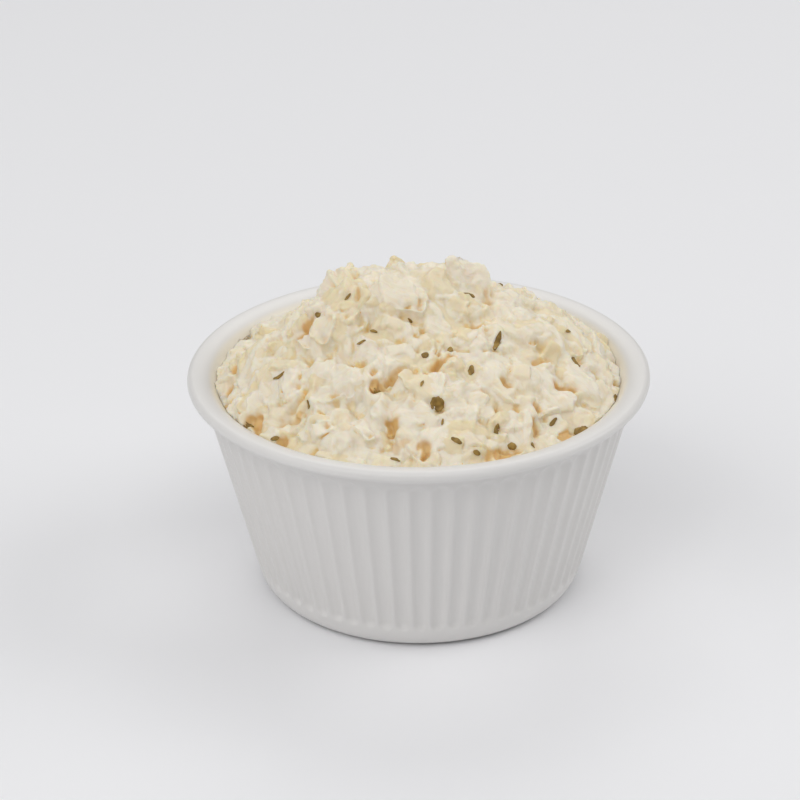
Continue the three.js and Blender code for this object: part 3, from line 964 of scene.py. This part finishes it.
def dressing_core():
    """A body a little wider than the ramekin's inside, whose top follows the map and slopes to its edge."""
    edge_radius, edge_height = CORE_EDGE
    lowest = BED_HEIGHT - CORE_DEPTH
    wall = [point for point in inside_outline(-CORE_OVERLAP) if lowest < point[1] < edge_height - 0.5]
    top = [(radius, edge_height) for radius in np.linspace(edge_radius, 0, CORE_RINGS)]
    bm = spin_outline([(0, wall[-1][1]), *reversed(wall), *top], CORE_STEPS)
    surface = [vert for vert in bm.verts if vert.co.z > (edge_height - 0.1) * MM]
    heights = height_at(pieces_map, [vert.co.xy / MM for vert in surface])
    for vert, height in zip(surface, heights):
        place = vert.co / MM
        lumps = noise.noise(place * CORE_WAVES) * CORE_LUMPS
        share = min(1, (edge_radius - place.xy.length) / CORE_SLOPE)
        vert.co.z = (edge_height * (1 - share) + (height - CORE_DROP + lumps) * share) * MM
    bmesh.ops.scale(bm, vec=(1 / MM, 1 / MM, 1 / MM), verts=bm.verts[:])
    return bm


gather(loose_bm, [dressing_core()], lambda: NO_TINT)
print("with the core:", len(loose_bm.faces), "faces")

# %% Melt them together
VOXEL = 0.3 * MM
KEPT_SHARE = 0.42
ROUNDING_STEPS = 1
SLAW_GAP = 0.05
LOOSE_GAP = -0.1
STEEP = 0.1
STEEP_BLEND = 0.5
LUMPS = ((0.7, 0.35), (1.7, 0.15))  # waves and height
GRAIN_SHIFT = 5
PIT_DEEPENING = 0.85


def keep_inside(bm, gap):
    """Draws what would go through the ramekin's wall back to its inside, less a gap."""
    room_radii, room_heights = zip(*reversed(inside_outline(gap)[:-1]))
    for vert in bm.verts:
        radius, height = vert.co.xy.length / MM, vert.co.z / MM
        most = np.interp(height, room_heights, room_radii)
        if radius > most:
            vert.co.xy *= most / radius


def melt(bm, voxel, rounding, share):
    """The outer skin of everything in a bmesh, rounded, and thinned to a share of its faces."""
    mesh = bpy.data.meshes.new("melting")
    bm.to_mesh(mesh)
    holder = add_to_scene("melting", mesh)
    remesh = holder.modifiers.new("melt", "REMESH")
    remesh.mode = "VOXEL"
    remesh.voxel_size = voxel
    soften = holder.modifiers.new("soften", "SMOOTH")
    soften.iterations = rounding
    thin = holder.modifiers.new("thin", "DECIMATE")
    thin.ratio = share
    shape = holder.evaluated_get(bpy.context.evaluated_depsgraph_get())
    melted = bmesh.new()
    melted.from_mesh(shape.to_mesh())
    bpy.data.objects.remove(holder)
    bpy.data.meshes.remove(mesh)
    return melted


def press_relief(bm):
    """Presses the flakes' relief and the pits into the heap, and lumps where it is too steep for a map."""
    tint, grain = bm.verts.layers.float["tint"], bm.verts.layers.float_vector["grain"]
    pitted = bm.verts.layers.float.new("pit")
    bm.normal_update()
    places = [vert.co.xy / MM for vert in bm.verts]
    pushes, pits = (height_at(measure, places) for measure in (flake_relief, pit_depths))
    for vert, push, pit in zip(bm.verts, pushes, pits):
        x, y, _ = place = vert.co / MM
        # the pit's depth, which the material uses for painted shade in the pits
        vert[pitted] = pit
        j, i = (min(len(TICKS) - 1, max(0, round((value + MAP_REACH) / CELL))) for value in (x, y))
        facing = min(1, max(0, (vert.normal.z - STEEP) / STEEP_BLEND))
        lumps = sum(size * noise.noise(place * waves) for waves, size in LUMPS)
        if vert[tint] == NO_TINT:
            turn = flake_heading[i, j]
            vert[tint] = flake_tint[i, j] ** PALENESS
            vert[grain] = Matrix.Rotation(-turn, 3, "Z") @ Vector((x, y, GRAIN_SHIFT * turn))
        vert.co += (core_normal(x, y) * push * facing + vert.normal * lumps * (1 - facing)) * MM
        vert.co -= core_normal(x, y) * pit * PIT_DEEPENING * MM


def carry_over(bm, source):
    """Gives each point the tint and grain of the nearest point of the loose pieces."""
    tree = BVHTree.FromBMesh(source)
    source.faces.ensure_lookup_table()
    source_tint = source.verts.layers.float["tint"]
    source_grain = source.verts.layers.float_vector["grain"]
    tint, grain = bm.verts.layers.float.new("tint"), bm.verts.layers.float_vector.new("grain")
    for vert in bm.verts:
        place, _, index, _ = tree.find_nearest(vert.co)
        corners = source.faces[index].verts
        shares = interpolate.poly_3d_calc([corner.co for corner in corners], place)
        vert[tint] = corners[0][source_tint]
        vert[grain] = sum((corner[source_grain] * share for corner, share in zip(corners, shares)), Vector())


keep_inside(loose_bm, LOOSE_GAP)
heap_bm = melt(loose_bm, VOXEL, ROUNDING_STEPS, KEPT_SHARE)
carry_over(heap_bm, loose_bm)
loose_bm.free()
press_relief(heap_bm)
print("melted:", len(heap_bm.faces), "faces")

# %% Swap the hidden part of the heap for a plain body
CUT_HEIGHT = 40.3
PLAIN_TOP = 36.3
PLAIN_GAP = 0.5


def drop_specks(bm):
    """Deletes what doesn't hang together with the heap, such as slivers left on the wall."""
    parts, seen = [], set()
    for first in bm.verts:
        fresh = [first] if first not in seen else []
        seen.add(first)
        part = list(fresh)
        while fresh:
            vert = fresh.pop()
            near = {edge.other_vert(vert) for edge in vert.link_edges} - seen
            seen |= near
            fresh.extend(near)
            part.extend(near)
        parts.append(part)
    parts.sort(key=len)
    bmesh.ops.delete(bm, geom=[vert for part in parts[:-1] for vert in part], context="VERTS")


def swap_hidden_part(bm):
    """Cuts the heap off below the rim and draws its edge down along the ramekin's inside."""
    everything = bm.verts[:] + bm.edges[:] + bm.faces[:]
    plane = {"plane_co": (0, 0, CUT_HEIGHT * MM), "plane_no": (0, 0, 1)}
    bmesh.ops.bisect_plane(bm, geom=everything, dist=0.001 * MM, clear_inner=True, **plane)
    drop_specks(bm)
    ring = [edge for edge in bm.edges if edge.is_boundary]
    for radius, height in [level for level in inside_outline(PLAIN_GAP) if level[1] < PLAIN_TOP][:-1]:
        grown = bmesh.ops.extrude_edge_only(bm, edges=ring)["geom"]
        ring = [item for item in grown if isinstance(item, bmesh.types.BMEdge)]
        for vert in {vert for edge in ring for vert in edge.verts}:
            vert.co.xy *= radius * MM / vert.co.xy.length
            vert.co.z = height * MM
    bmesh.ops.holes_fill(bm, edges=ring, sides=0)
    face_outwards(bm)


keep_inside(heap_bm, SLAW_GAP)
bmesh.ops.dissolve_degenerate(heap_bm, edges=heap_bm.edges[:], dist=0.01 * MM)
swap_hidden_part(heap_bm)
open_edges = sum(edge.is_boundary for edge in heap_bm.edges)
print("with a plain lower part:", len(heap_bm.faces), "faces,", open_edges, "open edges")

# %% [markdown]
# ## Creamy cabbage
#
# Light goes some way into cabbage and dressing, so it glows at thin edges and stays soft in the shadows.
# Its colour is a pale cream, yellower where a piece is an outer leaf. Warm tan shade is painted into the
# gaps, which the number "shelter" tells, and into the open pits, the deeper the darker. The wet dressing
# gives a thin glossy coat over an uneven base. The grooves of the leaf run along each piece, so their
# pattern reads the piece's own grain and is stretched along it.

# %% Dressed cabbage
def dressed_cabbage():
    material, tree, shader = new_material("dressed_cabbage")
    place = add_node(tree, "ShaderNodeTexCoord").outputs["Object"]
    tint, shelter, pit = (
        add_node(tree, "ShaderNodeAttribute", attribute_name=name).outputs["Fac"]
        for name in ("tint", "shelter", "pit")
    )
    grain = add_node(tree, "ShaderNodeAttribute", attribute_name="grain").outputs["Vector"]
    mottle = add_noise(tree, place, 420, 5)
    stretched = add_node(tree, "ShaderNodeMapping", {"Vector": grain, "Scale": (0.35, 2.6, 1)})
    grooves = add_noise(tree, stretched.outputs["Vector"], 1.0, 3)
    colour = linear(241, 232, 213)
    for factor, low, high, darker in (
        (tint, 0.1, 1.0, (235, 220, 184)),
        (grooves, 0.5, 0.85, (236, 220, 182)),
        (mottle, 0.55, 0.85, (234, 216, 176)),
        # painted shade: tan where a point is sheltered by the slaw round it, deeper tan where it is most
        # sheltered
        (shelter, 0.22, 0.6, (240, 216, 164)),
        (shelter, 0.5, 0.9, (238, 196, 122)),
        # painted shade in the open pits, tanner the deeper the pit
        (pit, 0.4, 1.4, (224, 186, 124)),
    ):
        colour = add_mix(tree, add_ramp(tree, factor, low, high), colour, linear(*darker))
    pores = add_bump(tree, add_noise(tree, place, 1800, 4), 0.3, 0.1 * MM)
    shading = {
        "Base Color": colour,
        "Roughness": add_range(tree, mottle, 0.38, 0.6),
        "Normal": add_bump(tree, grooves, 0.45, 0.25 * MM, Normal=pores),
        "Subsurface Weight": 0.45,
        "Subsurface Radius": (1.0, 0.7, 0.35),
        "Subsurface Scale": 1.8 * MM,
        "Coat Weight": 0.12,
        "Coat Roughness": 0.3,
    }
    wire(tree, shader, shading)
    return material


heap = finish_piece(heap_bm, "dressed_slaw", "coleslaw", dressed_cabbage())

# %% How sheltered each point is, for the painted shade in the gaps
SHELTER_RAYS = 14
SHELTER_REACH = 2.4
SHELTER_START = 0.05


def measure_shelter(mesh, tree):
    """The share of short rays from each point, spread over the half space outside it, that meet slaw."""
    rays = []
    for i in range(SHELTER_RAYS):
        aside, angle = math.sqrt((i + 0.5) / SHELTER_RAYS), i * GOLDEN_ANGLE
        rise = math.sqrt(1 - aside * aside)
        rays.append(Vector((aside * math.cos(angle), aside * math.sin(angle), rise)))
    shelter = np.empty(len(mesh.vertices), dtype=np.float32)
    for index, vert in enumerate(mesh.vertices):
        turn = UP.rotation_difference(vert.normal)
        start = vert.co + vert.normal * SHELTER_START * MM
        hits = [tree.ray_cast(start, turn @ ray, SHELTER_REACH * MM)[0] is not None for ray in rays]
        shelter[index] = sum(hits) / SHELTER_RAYS
    return shelter


heap_points = [vert.co for vert in heap.data.vertices]
heap_tree = BVHTree.FromPolygons(heap_points, [face.vertices for face in heap.data.polygons])
shelter = measure_shelter(heap.data, heap_tree)
heap.data.attributes.new("shelter", "FLOAT", "POINT").data.foreach_set("value", shelter)
print("shelter, from open to closed in:", np.percentile(shelter, (5, 25, 50, 75, 95)).round(2))

# %% [markdown]
# ## Herbs
#
# Flecks of dried herb lie stuck to the dressing. They are flat flakes, far thinner than the cabbage, so
# they stay pieces of their own. Each is dropped square onto the heap, is turned to lie on the face that it
# lands on, and drapes over what is round it.

# %% Herb flecks
# x, y, length and width in millimetres and heading in degrees
HERBS = [
    (8.6, -1.5, 3.4, 1.4, 8),  # at the foot of the upright flake
    (-12.7, -5.6, 1.9, 0.6, 50), (-18.4, -6.2, 1.2, 0.9, 0), (-1.5, -9, 1.1, 0.5, -40),
    (-8.2, -11.1, 1.6, 0.6, -20), (-10.3, -13, 2, 0.5, 0), (5.9, -14.5, 1.4, 1.1, 80),
    (1.2, -17, 1.4, 1.1, 0),
    (14.3, -11.8, 4.2, 1.1, 78),  # feathery
    (29.1, -7.4, 2.4, 1.2, -20), (27.3, -1.4, 1, 0.6, 20), (9.5, -19.2, 2, 1.1, 85),
    (-25.2, -13.8, 2.8, 0.6, 0), (-7.5, -23.2, 1.4, 0.9, 20), (0.6, -23.6, 1.6, 0.5, 70),
    (3.3, -26.6, 2.7, 2.5, 0),  # round
    (-19.9, -22.7, 1.7, 0.8, 80), (36.6, -10.7, 3.4, 1.2, 75), (29.4, -23.5, 3.4, 1.5, 40),
    (24.5, -24.2, 2, 0.7, 60), (13.9, -29.8, 1.9, 1, 85), (4.2, -30, 1.4, 0.4, 80),
    (6.5, -33.5, 2.2, 0.9, -30), (16.7, -31.7, 1.8, 1.3, 10), (20.4, -30.5, 1.2, 0.9, 0),
    (10.1, -34.7, 1.5, 0.9, -20), (-4.2, -36.2, 2, 0.6, -20), (-31.1, -20.8, 2.4, 1.2, -50),
    (-25.8, -26.8, 1.6, 0.8, 0),
]
BEHIND_COUNT = 16
BEHIND_RADIUS = (20, 37)
BEHIND_ANGLE = (35, 145)
BEHIND_LENGTH = (1.2, 3)
BEHIND_WIDTH = (0.6, 1.4)
HERB_THICKNESS = 0.16
HERB_LIFT = 0.18
DROP_HEIGHT = 12
UPRIGHT_SHARE = 2
DRAPE_REACH = 1.5
DRAPE_SAG = 0.3
HERB_STEP = 0.3


def herb(length, width, draw):
    """A crumpled flake with a ragged edge."""
    bm = grid(length, width, HERB_STEP)
    shift = 40 * draw()
    for vert in bm.verts:
        u, v = vert.co.xy
        x, y = length * u * (1 - 0.9 * v * v), width * v * (1 - 1.4 * u * u)
        ragged = noise.noise(Vector((1.7 * x, 1.7 * y, shift)))
        vert.co = (x * (1 + 0.2 * ragged), y * (1 + 0.35 * ragged), 0.25 * ragged)
    return bm


def drop_on_slaw(piece, x, y, heading, tree):
    """Lays a flake on the face that a ray from above the heap meets at x, y, drapes it and thickens it."""
    direction = core_normal(x, y)
    start = Vector((x, y, core_height(x, y))) + direction * DROP_HEIGHT
    hit, normal, _, _ = tree.ray_cast(start * MM, -direction)
    facing = (normal + UPRIGHT_SHARE * direction).normalized()
    rotation = UP.rotation_difference(facing) @ Quaternion(UP, heading)
    bmesh.ops.transform(piece, matrix=Matrix.LocRotScale(hit / MM, rotation, None), verts=piece.verts[:])
    for vert in piece.verts:
        below = tree.ray_cast((vert.co + facing * DRAPE_REACH) * MM, -facing, 2 * DRAPE_REACH * MM)[0]
        rise = (below / MM - vert.co).dot(facing) if below else 0
        vert.co += facing * (max(rise, -DRAPE_SAG) + HERB_LIFT)
    bmesh.ops.solidify(piece, geom=piece.faces[:], thickness=HERB_THICKNESS)
    face_outwards(piece)
    return piece


def dried_herb():
    material, tree, shader = new_material("dried_herb")
    place = add_node(tree, "ShaderNodeTexCoord").outputs["Object"]
    fleck = add_noise(tree, place, 900, 3)
    shade = add_ramp(tree, fleck, 0.35, 0.65)
    shading = {
        "Base Color": add_mix(tree, shade, linear(130, 101, 40), linear(166, 134, 64)),
        "Normal": add_bump(tree, fleck, 0.5, 0.1 * MM),
        "Roughness": 0.55,
    }
    wire(tree, shader, shading)
    return material


def herbs_behind(draw):
    """Places, sizes and headings of flecks on the side that the photograph doesn't show."""
    places = []
    for _ in range(BEHIND_COUNT):
        radius, angle = draw(*BEHIND_RADIUS), math.radians(draw(*BEHIND_ANGLE))
        length, width = draw(*BEHIND_LENGTH), draw(*BEHIND_WIDTH)
        heading = draw(0, 180)
        places.append((radius * math.cos(angle), radius * math.sin(angle), length, width, heading))
    return places


herb_draw = seeded_draw(SEED + 5)
flecks = []
for x, y, length, width, heading in [*HERBS, *herbs_behind(seeded_draw(SEED + 6))]:
    flecks.append(drop_on_slaw(herb(length, width, herb_draw), x, y, math.radians(heading), heap_tree))
herbs_bm = bmesh.new()
gather(herbs_bm, flecks, lambda: 0.0)
finish_piece(herbs_bm, "herb_flecks", "coleslaw", dried_herb())

# %% [markdown]
# ## Stage and light
#
# The ramekin stands on a pale seamless surface among wide soft lamps: a strong one high in front, weaker ones
# at the front left, at the right and behind, and a faint one at the left. The bright room fills the rest.

# %% Floor and lamps
FLOOR_REACH = 3
ROOM_LIGHT = 0.25


def add_floor():
    bm = bmesh.new()
    bmesh.ops.create_grid(bm, x_segments=1, y_segments=1, size=FLOOR_REACH)
    mesh = bpy.data.meshes.new("floor")
    bm.to_mesh(mesh)
    bm.free()
    material, tree, shader = new_material("pale_surface")
    wire(tree, shader, {"Base Color": linear(240, 240, 242), "Roughness": 0.8})
    mesh.materials.append(material)
    floor = add_to_scene("floor", mesh)


def add_lamp(name, place, size, power):
    data = bpy.data.lights.new(name, "AREA")
    data.size = size
    data.energy = power
    lamp = add_to_scene(name, data)
    lamp.location = place
    lamp.rotation_euler = (AIM_POINT - lamp.location).to_track_quat("-Z", "Y").to_euler()


def light_the_room(brightness):
    world = bpy.data.worlds.new("room")
    world.use_nodes = True
    background = world.node_tree.nodes["Background"]
    wire(world.node_tree, background, {"Color": (1, 1, 1, 1), "Strength": brightness})
    bpy.context.scene.world = world
    bpy.context.scene.view_settings.view_transform = "Standard"


add_floor()
light_the_room(ROOM_LIGHT)
add_lamp("front_lamp", (0, -0.75, 1.2), 1, 5.1)
add_lamp("front_left_lamp", (-0.7, -0.7, 0.9), 0.8, 3.8)
add_lamp("left_lamp", (-0.9, 0, 0.7), 0.7, 1.4)
add_lamp("right_lamp", (0.9, 0.1, 0.7), 0.7, 3.6)
add_lamp("back_lamp", (0, 0.9, 1), 0.8, 3.7)
print("lamps:", sum(item.type == "LIGHT" for item in bpy.data.objects))
